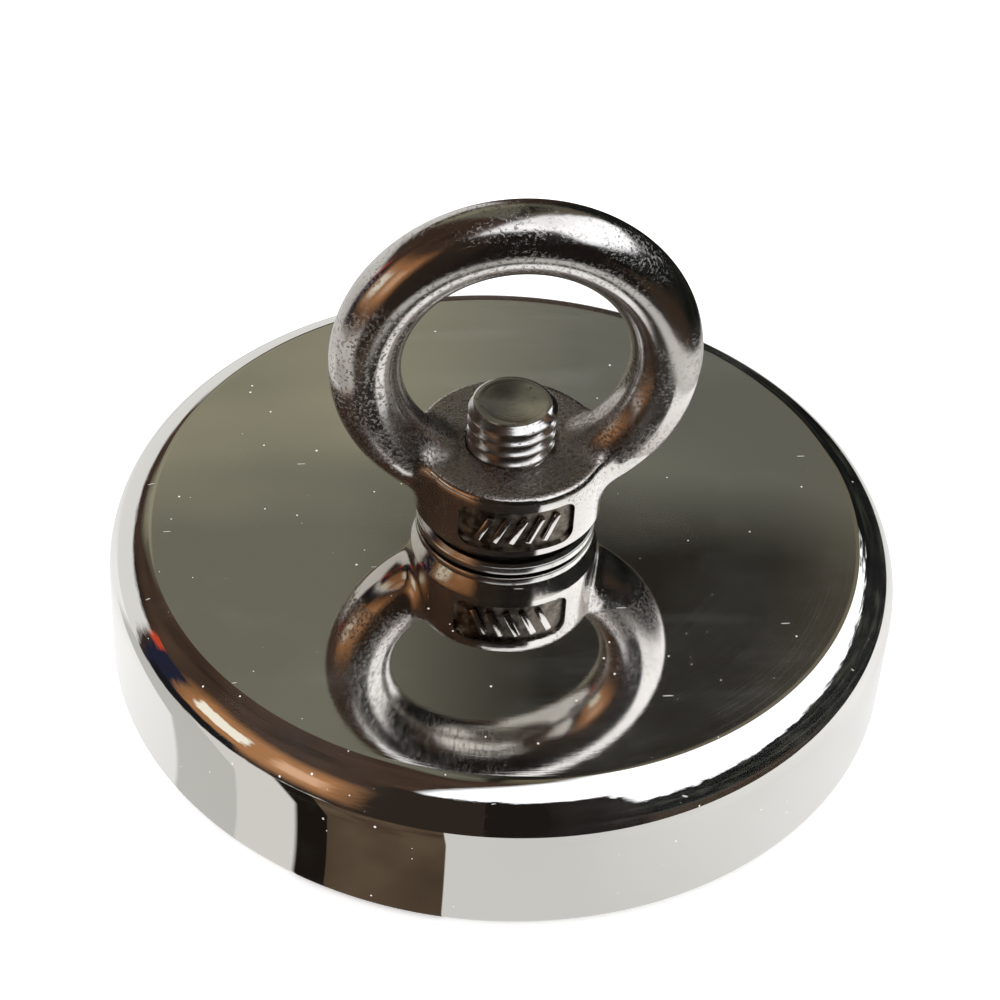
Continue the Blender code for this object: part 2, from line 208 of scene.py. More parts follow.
class Studio(bpy.types.PropertyGroup):
    distance: length("Camera distance", "Camera to the middle of the pull face", 0.3237)
    lift: length("Camera lift", "Height added to the camera", 0.82 * MM)
    swing: FloatProperty(
        name="Camera swing", description="Turn of the camera about the magnet",
        default=math.radians(-8.22), subtype="ANGLE",
    )
    elevation: FloatProperty(
        name="Camera elevation", description="Angle of the camera over the floor",
        default=math.radians(44.30), subtype="ANGLE",
    )
    aim: FloatVectorProperty(
        name="Camera aim", description="Small turns of the camera about its own X, Y and Z",
        default=(0.0451, 0.0024, 0.0692), subtype="EULER",
    )
    lens: FloatProperty(
        name="Lens", description="Focal length, in millimetres", default=98.51, min=1.0
    )
    floor: tint("Floor", "Pale floor", (0.93, 0.93, 0.93))
    floor_glow: FloatProperty(
        name="Floor glow", description="Light from the floor, which thins the shadow", default=0.35, min=0.0
    )
    table: length("Table", "Reach of the pale table top that the polish reflects", 0.092)
    daylight: FloatProperty(
        name="Daylight", description="Strength of the even white light", default=1.08, min=0.0
    )


# Working by hand: selecting, starting a piece, and the steps that shape it


def start_fresh():
    if bpy.context.mode != "OBJECT":
        bpy.ops.object.mode_set(mode="OBJECT")
    bpy.ops.object.select_all(action="DESELECT")


def take(piece):
    start_fresh()
    piece.select_set(True)
    bpy.context.view_layer.objects.active = piece


def open_edit(piece):
    take(piece)
    bpy.ops.object.mode_set(mode="EDIT")
    bpy.ops.mesh.select_mode(type="VERT")
    bpy.ops.mesh.select_all(action="SELECT")


def close_edit():
    bpy.ops.object.mode_set(mode="OBJECT")


def settle(name):
    """Names the new piece and puts its place into its mesh."""
    piece = bpy.context.object
    piece.name = name
    piece.data.name = name
    bpy.ops.object.transform_apply(location=True, rotation=True, scale=True)
    return piece


def choose(kind, test):
    """Selects, in edit mode, only the vertices, edges or faces that pass the test."""
    bpy.ops.mesh.select_all(action="DESELECT")
    bpy.ops.mesh.select_mode(type=kind)
    data = bpy.context.edit_object.data
    work = bmesh.from_edit_mesh(data)
    items = {"VERT": work.verts, "EDGE": work.edges, "FACE": work.faces}[kind]
    chosen = [item for item in items if test(item)]
    if not chosen:
        raise RuntimeError(f"nothing to select on {bpy.context.edit_object.name}")
    for item in chosen:
        item.select_set(True)
    bmesh.update_edit_mesh(data)


def on_ring(radius, height):
    """A test for an edge or face whose corners all lie on one circle about the axis."""

    def test(item):
        return all(
            abs(v.co.z - height) < NEAR and abs(v.co.xy.length - radius) < NEAR
            for v in item.verts
        )

    return test


def cap_at(height):
    """A test for the round end face at that height."""

    def test(face):
        return len(face.verts) > 5 and all(abs(v.co.z - height) < NEAR for v in face.verts)

    return test


def draw_out(radius, height):
    """Extrudes the chosen round face to a new radius and height, as a turned step."""
    work = bmesh.from_edit_mesh(bpy.context.edit_object.data)
    points = [v.co.copy() for v in work.verts if v.select]
    share = radius / max(p.xy.length for p in points)
    rise = height - points[0].z
    bpy.ops.mesh.extrude_region_move(TRANSFORM_OT_translate={"value": (0.0, 0.0, rise)})
    bpy.ops.transform.resize(value=(share, share, 1.0), center_override=(0.0, 0.0, 0.0))


def round_edges(amount, segments):
    bpy.ops.mesh.bevel(offset=amount, segments=segments, affect="EDGES", clamp_overlap=False)


def tidy_faces():
    """Welds doubles and turns the faces outwards."""
    bpy.ops.mesh.select_all(action="SELECT")
    bpy.ops.mesh.remove_doubles(threshold=WELD)
    bpy.ops.mesh.normals_make_consistent(inside=False)


def cylinder(name, radius, low, high, sides):
    start_fresh()
    bpy.ops.mesh.primitive_cylinder_add(
        vertices=sides, radius=radius, depth=high - low, location=(0.0, 0.0, (low + high) / 2)
    )
    return settle(name)


def block(name, size, location, rotation=(0.0, 0.0, 0.0)):
    start_fresh()
    bpy.ops.mesh.primitive_cube_add(size=1.0)
    piece = bpy.context.object
    bpy.ops.transform.resize(value=size)
    piece.rotation_euler = rotation
    piece.location = location
    return settle(name)


def line(name, points):
    """An open line in the XZ plane, drawn out from one vertex."""
    start_fresh()
    x, z = points[0]
    bpy.ops.mesh.primitive_plane_add(size=MM, location=(x, 0.0, z))
    piece = settle(name)
    open_edit(piece)
    bpy.ops.mesh.merge(type="CENTER")
    for (x0, z0), (x1, z1) in zip(points, points[1:]):
        bpy.ops.mesh.extrude_region_move(
            TRANSFORM_OT_translate={"value": (x1 - x0, 0.0, z1 - z0)}
        )
    close_edit()
    return piece


def turned(name, points, steps):
    """A solid turned on the Z axis from its outline, which starts and ends on the axis or closes."""
    piece = line(name, points)
    open_edit(piece)
    bpy.ops.mesh.spin(steps=steps, angle=math.tau, center=(0.0, 0.0, 0.0), axis=(0.0, 0.0, 1.0))
    tidy_faces()
    close_edit()
    return piece


def turned_ring(name, inner, outer, low, high, edge, steps, segments=3):
    """A ring turned from an upright rectangle with rounded corners."""
    start_fresh()
    middle = ((inner + outer) / 2, 0.0, (low + high) / 2)
    bpy.ops.mesh.primitive_plane_add(size=1.0, rotation=(math.pi / 2, 0.0, 0.0))
    piece = settle(name)
    open_edit(piece)
    bpy.ops.transform.resize(
        value=(outer - inner, 1.0, high - low), center_override=(0.0, 0.0, 0.0)
    )
    bpy.ops.transform.translate(value=middle)
    if edge:
        bpy.ops.mesh.bevel(offset=edge, segments=segments, affect="VERTICES")
    bpy.ops.mesh.delete(type="ONLY_FACE")
    bpy.ops.mesh.select_all(action="SELECT")
    bpy.ops.mesh.spin(steps=steps, angle=math.tau, center=(0.0, 0.0, 0.0), axis=(0.0, 0.0, 1.0))
    tidy_faces()
    close_edit()
    return piece


def apply_modifier(piece, kind, **settings):
    modifier = piece.modifiers.new(kind.title(), kind)
    for key, value in settings.items():
        setattr(modifier, key, value)
    take(piece)
    bpy.ops.object.modifier_apply(modifier=modifier.name)


def combine(piece, tool, operation):
    """Joins, cuts or keeps with another solid, which is used up."""
    apply_modifier(piece, "BOOLEAN", operation=operation, solver="EXACT", object=tool)
    bpy.data.objects.remove(tool, do_unlink=True)


def turned_copy(piece, name, angle):
    """A copy with its own mesh, turned about the Z axis."""
    take(piece)
    bpy.ops.object.duplicate(linked=False)
    copy = bpy.context.object
    copy.name = name
    copy.data.name = name
    open_edit(copy)
    bpy.ops.transform.rotate(value=-angle, orient_axis="Z", center_override=(0.0, 0.0, 0.0))
    close_edit()
    return copy


def threaded_rod(name, radius, depth, pitch, crest, root, low, high):
    """A right-hand threaded rod. A ridge passes the +X side at each whole pitch of height."""
    flank = (pitch - crest - root) / 2
    first = math.floor(low / pitch) * pitch - pitch
    turns = math.ceil((high - first) / pitch) + 2
    ridge = [
        (radius - depth, first - pitch / 2),
        (radius - depth, first - crest / 2 - flank),
        (radius, first - crest / 2),
        (radius, first + crest / 2),
        (radius - depth, first + crest / 2 + flank),
        (radius - depth, first + pitch / 2),
    ]
    rod = line(name, ridge)
    apply_modifier(
        rod, "SCREW", axis="Z", angle=math.tau, screw_offset=pitch, iterations=turns,
        steps=96, render_steps=96, use_merge_vertices=False,
    )
    open_edit(rod)
    tidy_faces()
    for height, side in ((low, "clear_inner"), (high, "clear_outer")):
        bpy.ops.mesh.select_all(action="SELECT")
        bpy.ops.mesh.bisect(
            plane_co=(0.0, 0.0, height), plane_no=(0.0, 0.0, 1.0), use_fill=True,
            threshold=WELD, **{side: True},
        )
    tidy_faces()
    close_edit()
    return rod


def shade(piece, degrees):
    take(piece)
    bpy.ops.object.shade_smooth_by_angle(angle=math.radians(degrees))


def hand_over(piece, material, body, slot, *nodes):
    """Gives a finished piece its material, its body and the frame nodes it stands for."""
    piece.data.materials.clear()
    for one in material if isinstance(material, list) else [material]:
        piece.data.materials.append(one)
    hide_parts(*nodes)
    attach(piece, body)


# Mixing the finishes


class Mix:
    """A material being mixed from nodes on Object coordinates."""

    def __init__(self, name, colour, metallic, roughness):
        self.material = bpy.data.materials.new(name)
        self.material.use_nodes = True
        self.tree = self.material.node_tree
        self.shader = self.tree.nodes["Principled BSDF"]
        self.shader.inputs["Base Color"].default_value = (*colour, 1.0)
        self.shader.inputs["Metallic"].default_value = metallic
        self.shader.inputs["Roughness"].default_value = roughness
        self.place = self.tree.nodes.new("ShaderNodeTexCoord").outputs["Object"]

    def node(self, kind, sockets=(), **settings):
        made = self.tree.nodes.new("ShaderNode" + kind)
        for key, value in settings.items():
            setattr(made, key, value)
        for key, value in dict(sockets).items():
            self.feed(made.inputs[key], value)
        return made

    def feed(self, socket, value):
        if isinstance(value, bpy.types.NodeSocket):
            self.tree.links.new(value, socket)
        else:
            socket.default_value = value

    def math(self, operation, first, second=0.0):
        made = self.node("Math", operation=operation)
        self.feed(made.inputs[0], first)
        self.feed(made.inputs[1], second)
        return made.outputs[0]

    def span(self, value, low, high, to_low=0.0, to_high=1.0):
        """Maps a value between two limits, and holds it there."""
        made = self.node(
            "MapRange", {"Value": value, "From Min": low, "From Max": high,
                         "To Min": to_low, "To Max": to_high},
        )
        return made.outputs["Result"]

    def stretch(self, scale, rotation=(0.0, 0.0, 0.0)):
        return self.node(
            "Mapping", {"Vector": self.place, "Scale": scale, "Rotation": rotation}
        ).outputs["Vector"]

    def cloud(self, scale, detail=3.0, vector=None, rough=0.5):
        made = self.node(
            "TexNoise",
            {"Vector": vector or self.place, "Scale": scale, "Detail": detail, "Roughness": rough},
        )
        return made.outputs["Fac"]

    def cells(self, scale, vector=None):
        made = self.node("TexVoronoi", {"Vector": vector or self.place, "Scale": scale})
        return made.outputs["Distance"], made.outputs["Color"]

    def axes(self, vector=None):
        made = self.node("SeparateXYZ", {"Vector": vector or self.place})
        return made.outputs["X"], made.outputs["Y"], made.outputs["Z"]

    def off_axis(self):
        """Distance from the Z axis."""
        x, y, _ = self.axes()
        square = self.math("ADD", self.math("MULTIPLY", x, x), self.math("MULTIPLY", y, y))
        return self.math("SQRT", square)

    def rings(self, pitch):
        """Fine turned lines about the Z axis."""
        made = self.node(
            "TexNoise",
            {"W": self.math("DIVIDE", self.off_axis(), pitch), "Scale": 1.0, "Detail": 2.0},
            noise_dimensions="1D",
        )
        return made.outputs["Fac"]

    def blend(self, share, first, second):
        made = self.node("Mix", data_type="RGBA")
        self.feed(made.inputs["Factor"], share)
        self.feed(made.inputs["A"], (*first, 1.0) if isinstance(first, tuple) else first)
        self.feed(made.inputs["B"], (*second, 1.0) if isinstance(second, tuple) else second)
        return made.outputs["Result"]

    def bump(self, height, depth, strength=1.0, over=None):
        made = self.node(
            "Bump", {"Height": height, "Distance": depth, "Strength": strength}
        )
        if over is not None:
            self.feed(made.inputs["Normal"], over)
        return made.outputs["Normal"]

    def set(self, **sockets):
        for key, value in sockets.items():
            self.feed(self.shader.inputs[key.replace("_", " ").title()], value)


def polished_nickel(colours):
    """Mirror polish: faint ring lines, haze from handling, hairline scratches and dust."""
    mix = Mix("Polished nickel", colours.nickel, 1.0, 0.04)
    lines = mix.rings(0.16 * MM)
    haze = mix.span(mix.cloud(34.0, 5.0, rough=0.6), 0.47, 0.75)
    wiped = mix.span(mix.cloud(1.0, 5.0, mix.stretch((25.0, 240.0, 60.0), (0, 0, 0.35))), 0.50, 0.72)
    worn = mix.math("MULTIPLY", mix.span(lines, 0.52, 0.66), mix.span(mix.cloud(22.0, 3.0), 0.48, 0.66))
    film = mix.math("ADD", mix.math("MULTIPLY", haze, 0.022), mix.math("MULTIPLY", worn, 0.028))
    film = mix.math("ADD", film, mix.math("MULTIPLY", mix.math("MULTIPLY", wiped, haze), 0.05))

    distance, colour = mix.cells(820.0)
    luck, width, _ = mix.axes(colour)
    picked = mix.math("GREATER_THAN", luck, 0.55)
    speck = mix.math("LESS_THAN", distance, mix.math("MULTIPLY", mix.math("POWER", width, 3.0), 0.125))
    speck = mix.math("MULTIPLY", picked, speck)
    distance, colour = mix.cells(1.0, mix.stretch((170.0, 1500.0, 600.0), (0, 0, 0.22)))
    luck, width, _ = mix.axes(colour)
    picked = mix.math("GREATER_THAN", luck, 0.965)
    dash = mix.math("MULTIPLY", picked, mix.math("LESS_THAN", distance, 0.10))
    marks = mix.math("MAXIMUM", speck, mix.math("MULTIPLY", dash, 0.6))
    dull = mix.math("ADD", film, marks)

    rough = mix.math("ADD", mix.math("MULTIPLY", haze, 0.03), 0.022)
    rough = mix.math("ADD", rough, mix.math("MULTIPLY", marks, 0.5))
    mix.set(
        base_color=mix.blend(marks, tuple(colours.nickel), tuple(colours.dust)),
        metallic=mix.math("SUBTRACT", 1.0, dull),
        roughness=rough,
    )
    roll = mix.bump(mix.cloud(26.0, 2.0), 0.02 * MM, 0.35)
    turned_lines = mix.bump(lines, 0.0006 * MM, 1.0, roll)
    mix.set(normal=mix.bump(mix.cloud(2600.0, 2.0), 0.0003 * MM, 1.0, turned_lines))
    return mix.material


def cast_stainless(colours, top):
    """Tumbled casting: polished on its rounds, pitted on the land at the collar's top, with painted shade
    darkening that land and the fillets up the ring where it joins the collar.
    """
    mix = Mix("Cast stainless", colours.cast, 1.0, 0.2)
    _, _, z = mix.axes()
    ragged_z = mix.math("ADD", z, mix.math("MULTIPLY", mix.cloud(220.0), 6.0 * MM))
    # The land mask covers the collar's top and fades up the ring's fillets. The darkening it drives in the
    # colour is painted shade at the joint; its pits, roughness and bump are the casting's own.
    land = mix.math(
        "MULTIPLY", mix.span(z, top - 0.25 * MM, top - 0.02 * MM),
        mix.span(ragged_z, top + 9.3 * MM, top + 1.8 * MM),
    )
    grain = mix.cloud(2600.0, 4.0, rough=0.6)
    patch = mix.span(mix.cloud(90.0, 4.0), 0.43, 0.64)
    patch = mix.math("MULTIPLY", patch, mix.span(z, top - 3.7 * MM, top - 0.2 * MM, 0.3, 1.0))
    open_pits = mix.math("MULTIPLY", mix.span(grain, 0.55, 0.64), patch)
    land_pits = mix.math("MULTIPLY", mix.span(grain, 0.50, 0.60), land)
    pit = mix.math("MAXIMUM", mix.math("MULTIPLY", open_pits, 0.75), land_pits)
    film = mix.span(mix.cloud(70.0, 5.0), 0.38, 0.72)
    dull = (0.33, 0.275, 0.24)
    colour = mix.blend(mix.math("MULTIPLY", film, 0.7), tuple(colours.cast), (0.42, 0.38, 0.34))
    # Painted shade: the colour is darkened over the land and up the fillets where the ring joins the
    # collar.
    colour = mix.blend(mix.math("MULTIPLY", land, 0.75), colour, dull)
    colour = mix.blend(mix.math("MULTIPLY", pit, 0.85), colour, tuple(colours.soil))
    worn = mix.math("MULTIPLY", film, mix.span(z, top - 2.2 * MM, top + 0.3 * MM, 0.25, 1.0))
    rough = mix.math("ADD", mix.math("MULTIPLY", worn, 0.10), 0.11)
    rough = mix.math("ADD", rough, mix.math("MULTIPLY", land, 0.14))
    rough = mix.math("ADD", rough, mix.math("MULTIPLY", pit, 0.25))
    mix.set(base_color=colour, roughness=rough)
    depth = mix.span(z, top - 3.7 * MM, top - 0.2 * MM, 0.07, 0.22)
    depth = mix.math("ADD", mix.math("MULTIPLY", land, 0.7), depth)
    height = mix.math("SUBTRACT", mix.math("MULTIPLY", grain, depth), pit)
    wave = mix.bump(mix.cloud(190.0, 3.0), 0.06 * MM, 0.5)
    mix.set(normal=mix.bump(height, 0.045 * MM, 0.7, wave))
    return mix.material


def recess_shaded_stainless(colours):
    """The panel's floor, left as cast and rough, its colour darkened as painted shade in the recess."""
    mix = Mix("Recess shaded stainless", colours.cast, 1.0, 0.4)
    patch = mix.span(mix.cloud(900.0, 5.0), 0.42, 0.66)
    mix.set(
        # Painted shade: the recessed panel floor is given dark colours.
        base_color=mix.blend(patch, (0.085, 0.07, 0.055), (0.30, 0.26, 0.21)),
        roughness=mix.span(patch, 0.0, 1.0, 0.34, 0.5),
        normal=mix.bump(mix.cloud(1500.0, 4.0), 0.05 * MM, 0.7),
    )
    return mix.material


def turned_steel(name, colour, rough, pitch):
    """Turned steel: ring lines on its faces, with handling marks."""
    mix = Mix(name, colour, 1.0, rough)
    lines = mix.rings(pitch)
    patch = mix.cloud(220.0, 4.0)
    pits = mix.span(mix.cloud(1500.0, 4.0, rough=0.6), 0.62, 0.70)
    dark = tuple(part * 0.72 for part in colour)
    clean = mix.blend(mix.span(patch, 0.42, 0.7), tuple(colour), dark)
    mix.set(
        base_color=mix.blend(mix.math("MULTIPLY", pits, 0.7), clean, (0.12, 0.10, 0.08)),
        roughness=mix.span(patch, 0.3, 0.7, rough * 0.8, rough * 1.5),
        normal=mix.bump(lines, 0.012 * MM, 0.7, mix.bump(mix.cloud(900.0), 0.012 * MM, 0.6)),
    )
    return mix.material


def magnet_plating(colours):
    mix = Mix("Magnet plating", colours.magnet, 1.0, 0.2)
    patch = mix.cloud(140.0, 5.0)
    mix.set(
        base_color=mix.blend(mix.span(patch, 0.5, 0.8), tuple(colours.magnet), (0.5, 0.48, 0.44)),
        roughness=mix.span(patch, 0.3, 0.7, 0.14, 0.34),
        normal=mix.bump(mix.cloud(2200.0, 3.0), 0.006 * MM, 0.6),
    )
    return mix.material


def black_epoxy(colours):
    mix = Mix("Black epoxy", colours.epoxy, 0.0, 0.18)
    patch = mix.cloud(260.0, 4.0)
    mix.set(
        base_color=mix.blend(mix.span(patch, 0.5, 0.8), tuple(colours.epoxy), (0.03, 0.03, 0.032)),
        roughness=mix.span(patch, 0.3, 0.7, 0.12, 0.3),
        normal=mix.bump(mix.cloud(500.0, 2.0), 0.04 * MM, 0.5),
    )
    return mix.material


def amber_bond(colours):
    mix = Mix("Amber bond", colours.bond, 0.0, 0.35)
    patch = mix.cloud(300.0, 4.0)
    mix.set(
        base_color=mix.blend(mix.span(patch, 0.35, 0.7), tuple(colours.bond), (0.20, 0.165, 0.10)),
        roughness=mix.span(patch, 0.3, 0.7, 0.25, 0.5),
        normal=mix.bump(patch, 0.05 * MM, 0.5),
    )
    return mix.material


def glowing(name, swing):
    """A material for a stage card that glows, with the directions seen from the magnet."""
    mix = Mix(name, (0.0, 0.0, 0.0), 0.0, 1.0)
    mix.material.cycles.emission_sampling = "NONE"
    ahead = mix.node("Mapping", {"Vector": mix.place, "Rotation": (0.0, 0.0, -swing)})
    side, back, up = mix.axes(ahead.outputs["Vector"])
    bearing = mix.math("DEGREES", mix.math("ARCTAN2", side, back))
    return mix, side, back, up, bearing


def glow_with(mix, colour):
    glow = mix.node("Emission", {"Color": colour, "Strength": 1.0})
    mix.tree.links.new(glow.outputs["Emission"], mix.tree.nodes["Material Output"].inputs["Surface"])
    return mix.material


def between(mix, value, low, high, soft):
    rise = mix.span(value, low - soft, low + soft)
    return mix.math("MULTIPLY", rise, mix.span(value, high + soft, high - soft))


def reflected_room(swing):
    """Overcast daylight from the right over a dark tree line, a dim brown room on the left.

    Bearings are in degrees from straight behind the magnet, right being positive, and levels are
    degrees over the horizon.
    """
    mix, side, back, up, bearing = glowing("Reflected room", swing)
    level = mix.math("DEGREES", mix.math("ARCSINE", up))
    mist = mix.span(mix.cloud(2.4, 4.0), 0.35, 0.68)
    ragged = mix.math("MULTIPLY", mix.math("SUBTRACT", mix.cloud(14.0, 6.0, rough=0.7), 0.5), 22.0)
    loose = mix.math("MULTIPLY", ragged, 0.35)
    rough_level = mix.math("ADD", level, ragged)
    loose_level = mix.math("ADD", level, loose)
    loose_bearing = mix.math("ADD", bearing, loose)
    colour = mix.blend(mist, (0.030, 0.020, 0.015), (0.085, 0.052, 0.037))

    # The olive wall behind, which the flat top shows
    streak = mix.span(mix.cloud(5.0, 3.0, mix.stretch((1.0, 1.0, 4.0))), 0.42, 0.66)
    drift = mix.math("MULTIPLY", mix.math("SUBTRACT", mix.cloud(3.0, 3.0), 0.5), 5.0)
    soft_level = mix.math("ADD", level, drift)
    shade_above = mix.span(soft_level, 41.4, 43.6)
    near = mix.blend(shade_above, (0.135, 0.135, 0.112), (0.020, 0.018, 0.014))
    band = mix.math("MULTIPLY", between(mix, soft_level, 40.8, 41.9, 0.7), mix.span(bearing, 9.0, -1.0))
    near = mix.blend(band, near, (0.215, 0.215, 0.175))
    far = mix.blend(streak, (0.30, 0.285, 0.205), (0.20, 0.195, 0.15))
    far = mix.blend(shade_above, far, (0.165, 0.16, 0.125))
    wall = mix.blend(mix.span(bearing, 2.0, -6.0), near, far)
    wall = mix.blend(mix.span(bearing, 10.0, 20.0), wall, (0.15, 0.13, 0.09))
    seen = mix.math(
        "MULTIPLY", between(mix, bearing, -40.0, 52.0, 6.0), between(mix, level, 28.0, 84.0, 3.0)
    )
    colour = mix.blend(seen, colour, wall)

    # The sky and the trees under it
    slope = mix.math("SUBTRACT", side, mix.math("MULTIPLY", back, 0.55))
    away = mix.math("ABSOLUTE", bearing)
    treeline = mix.span(away, 145.0, 168.0, 29.0, 54.0)
    above = mix.math("SUBTRACT", rough_level, treeline)
    open_sky = mix.math("MULTIPLY", mix.span(slope, 0.05, 0.11), mix.span(above, -1.0, 1.5))
    cloudy = mix.blend(mix.span(mix.cloud(2.0, 4.0), 0.4, 0.7), (1.7, 1.75, 1.85), (1.05, 1.1, 1.2))
    trees = mix.blend(mix.span(mix.cloud(7.0, 6.0), 0.5, 0.75), (0.007, 0.008, 0.008), (0.05, 0.05, 0.04))
    brown = mix.blend(mix.span(level, 2.0, -3.0), trees, (0.050, 0.034, 0.023))
    ground = mix.blend(mix.span(bearing, 85.0, 105.0), trees, brown)
    in_trees = mix.math(
        "MULTIPLY", mix.span(bearing, 4.0, 9.0), mix.span(above, 1.5, -1.0)
    )
    colour = mix.blend(in_trees, colour, ground)
    colour = mix.blend(open_sky, colour, cloudy)

    # Patches, back to front: bearings, levels, softness, colour
    for left, right, low, high, soft, paint in (
        (140.0, 181.0, -40.0, 54.0, 1.5, (0.014, 0.011, 0.010)),
        (-181.0, -148.0, -40.0, 54.0, 1.5, (0.030, 0.022, 0.017)),
        (-146.0, -94.0, -4.0, 34.0, 6.0, (0.42, 0.20, 0.085)),
        (-140.0, -126.0, 6.0, 22.0, 2.5, (0.75, 0.45, 0.28)),
        (-117.0, -100.0, 8.0, 23.0, 0.8, (1.0, 0.95, 0.82)),
        (-93.0, -80.0, -12.0, 24.0, 1.5, (0.018, 0.020, 0.040)),
        (-81.0, -76.0, 14.0, 24.0, 1.0, (0.55, 0.07, 0.03)),
        (-116.0, -84.0, -14.0, -1.0, 1.5, (0.012, 0.012, 0.014)),
        (-76.0, -8.0, -60.0, 18.0, 2.0, (0.78, 0.78, 0.77)),
        (-141.0, -70.0, -60.0, -14.0, 1.5, (0.80, 0.80, 0.78)),
    ):
        mask = mix.math(
            "MULTIPLY", between(mix, loose_bearing, left, right, soft),
            between(mix, loose_level, low, high, soft),
        )
        colour = mix.blend(mask, colour, paint)
    return glow_with(mix, colour)


def reflected_table(swing):
    """The pale table top by the pot, greyer in front and behind, with painted shade and dark patches in
    front where the photographer stands.
    """
    mix, side, back, _, bearing = glowing("Reflected table", swing)
    away = mix.math("ABSOLUTE", bearing)
    reach = mix.math("SUBTRACT", mix.math("MULTIPLY", mix.off_axis(), 2.0), POT_HIGH.x)
    column = mix.math("DIVIDE", mix.math("MULTIPLY", side, POT_HIGH.x / MM), reach)
    mist = mix.cloud(30.0, 3.0)
    front = mix.blend(mix.span(away, 165.0, 100.0), (0.68, 0.68, 0.67), (1.0, 1.0, 1.0))
    colour = mix.blend(mix.span(away, 85.0, 40.0), front, (0.66, 0.66, 0.65))
    colour = mix.blend(mix.span(mist, 0.4, 0.7, 0.0, 0.25), colour, (0.62, 0.62, 0.61))
    in_front = mix.span(back, 0.004, -0.004)
    grain = mix.span(mix.cloud(60.0, 3.0), 0.3, 0.7)
    # Painted shade and dark patches in front of the pot, by column: left, right, softness, colour
    for left, right, soft, paint in (
        (-34.5, -27.0, 0.25, (0.56, 0.56, 0.54)),
        (-27.0, -19.4, 0.25, (0.72, 0.71, 0.69)),
        (-20.3, -16.4, 0.25, (0.012, 0.009, 0.007)),
        (-16.8, -3.9, 0.07, mix.blend(grain, (0.055, 0.036, 0.024), (0.13, 0.095, 0.063))),
    ):
        mask = mix.math("MULTIPLY", in_front, between(mix, column, left, right, soft))
        colour = mix.blend(mask, colour, paint)
    return glow_with(mix, colour)


# The pieces


class FISHING_OT_pot(bpy.types.Operator):
    """Models the pot as a skimmed, round-shouldered cup with a countersunk base"""

    bl_idname = "fishing_magnet.pot"
    bl_label = "Pot"

    def execute(self, context):
        size = context.scene.fishing_pot
        colours = context.scene.fishing_finishes
        crown = size.height + size.shoulder_rise
        pot = cylinder("polished_pot", size.radius, 0.0, crown, 256)
        open_edit(pot)
        choose("EDGE", on_ring(size.radius, crown))
        round_edges(size.shoulder, 26)
        bpy.ops.mesh.select_all(action="SELECT")
        bpy.ops.mesh.bisect(
            plane_co=(0.0, 0.0, size.height), plane_no=(0.0, 0.0, 1.0),
            use_fill=True, clear_outer=True, threshold=WELD,
        )
        choose("EDGE", lambda e: all(abs(v.co.z - size.height) < NEAR for v in e.verts))
        round_edges(size.crease, 3)
        choose("EDGE", on_ring(size.radius, 0.0))
        round_edges(size.rim_edge, 8)

        choose("FACE", cap_at(0.0))
        mouth = size.radius - size.wall
        draw_out(mouth + size.mouth, 0.0)
        draw_out(mouth, size.mouth)
        draw_out(mouth, size.floor)
        choose("EDGE", on_ring(mouth, size.floor))
        round_edges(size.fillet, 6)
        choose("FACE", cap_at(size.floor))
        draw_out(size.countersink, size.floor)
        base = size.countersink - size.bolt_hole + size.floor
        draw_out(size.bolt_hole, base)
        choose("FACE", cap_at(size.height))
        draw_out(size.bolt_hole, size.height)
        choose("FACE", lambda f: len(f.verts) > 5)
        bpy.ops.mesh.bridge_edge_loops()
        tidy_faces()
        close_edit()
        shade(pot, 30.0)
        open_edit(pot)
        choose("EDGE", lambda e: any(f.normal.z > 0.99999 for f in e.link_faces)
               and not all(f.normal.z > 0.99999 for f in e.link_faces))
        bpy.ops.mesh.mark_sharp()
        close_edit()
        hand_over(pot, polished_nickel(colours), "pot", "plated_pot", "pot_shell")
        return {"FINISHED"}


class FISHING_OT_magnets(bpy.types.Operator):
    """Models one magnet arc and turns copies of it round the pot"""

    bl_idname = "fishing_magnet.magnets"
    bl_label = "Magnet arcs"

    def execute(self, context):
        size = context.scene.fishing_inside
        plating = magnet_plating(context.scene.fishing_finishes)
        pitch = math.tau / len(MAGNETS)
        arc = turned_ring(
            "magnet_arc_1", size.magnet_inner, MAGNET_HIGH.x,
            MAGNET_LOW.z, MAGNET_HIGH.z, 0.0, 256,
        )
        open_edit(arc)
        for side in (1, -1):
            angle = side * pitch / 2
            normal = Vector((-math.sin(angle), math.cos(angle), 0.0)) * side
            bpy.ops.mesh.select_all(action="SELECT")
            bpy.ops.mesh.bisect(
                plane_co=normal * -size.magnet_gap / 2, plane_no=normal,
                use_fill=True, clear_outer=True, threshold=WELD,
            )
        tidy_faces()
        bpy.ops.mesh.select_all(action="DESELECT")
        bpy.ops.mesh.select_mode(type="EDGE")
        bpy.ops.mesh.edges_select_sharp(sharpness=math.radians(30.0))
        round_edges(size.magnet_edge, 3)
        close_edit()
        shade(arc, 35.0)
        arcs = [arc]
        for number in range(1, len(MAGNETS)):
            arcs.append(turned_copy(arc, f"magnet_arc_{number + 1}", number * pitch))
        for piece, node in zip(arcs, MAGNETS):
            hand_over(piece, plating, "pot", "plated_magnet", node)
        return {"FINISHED"}


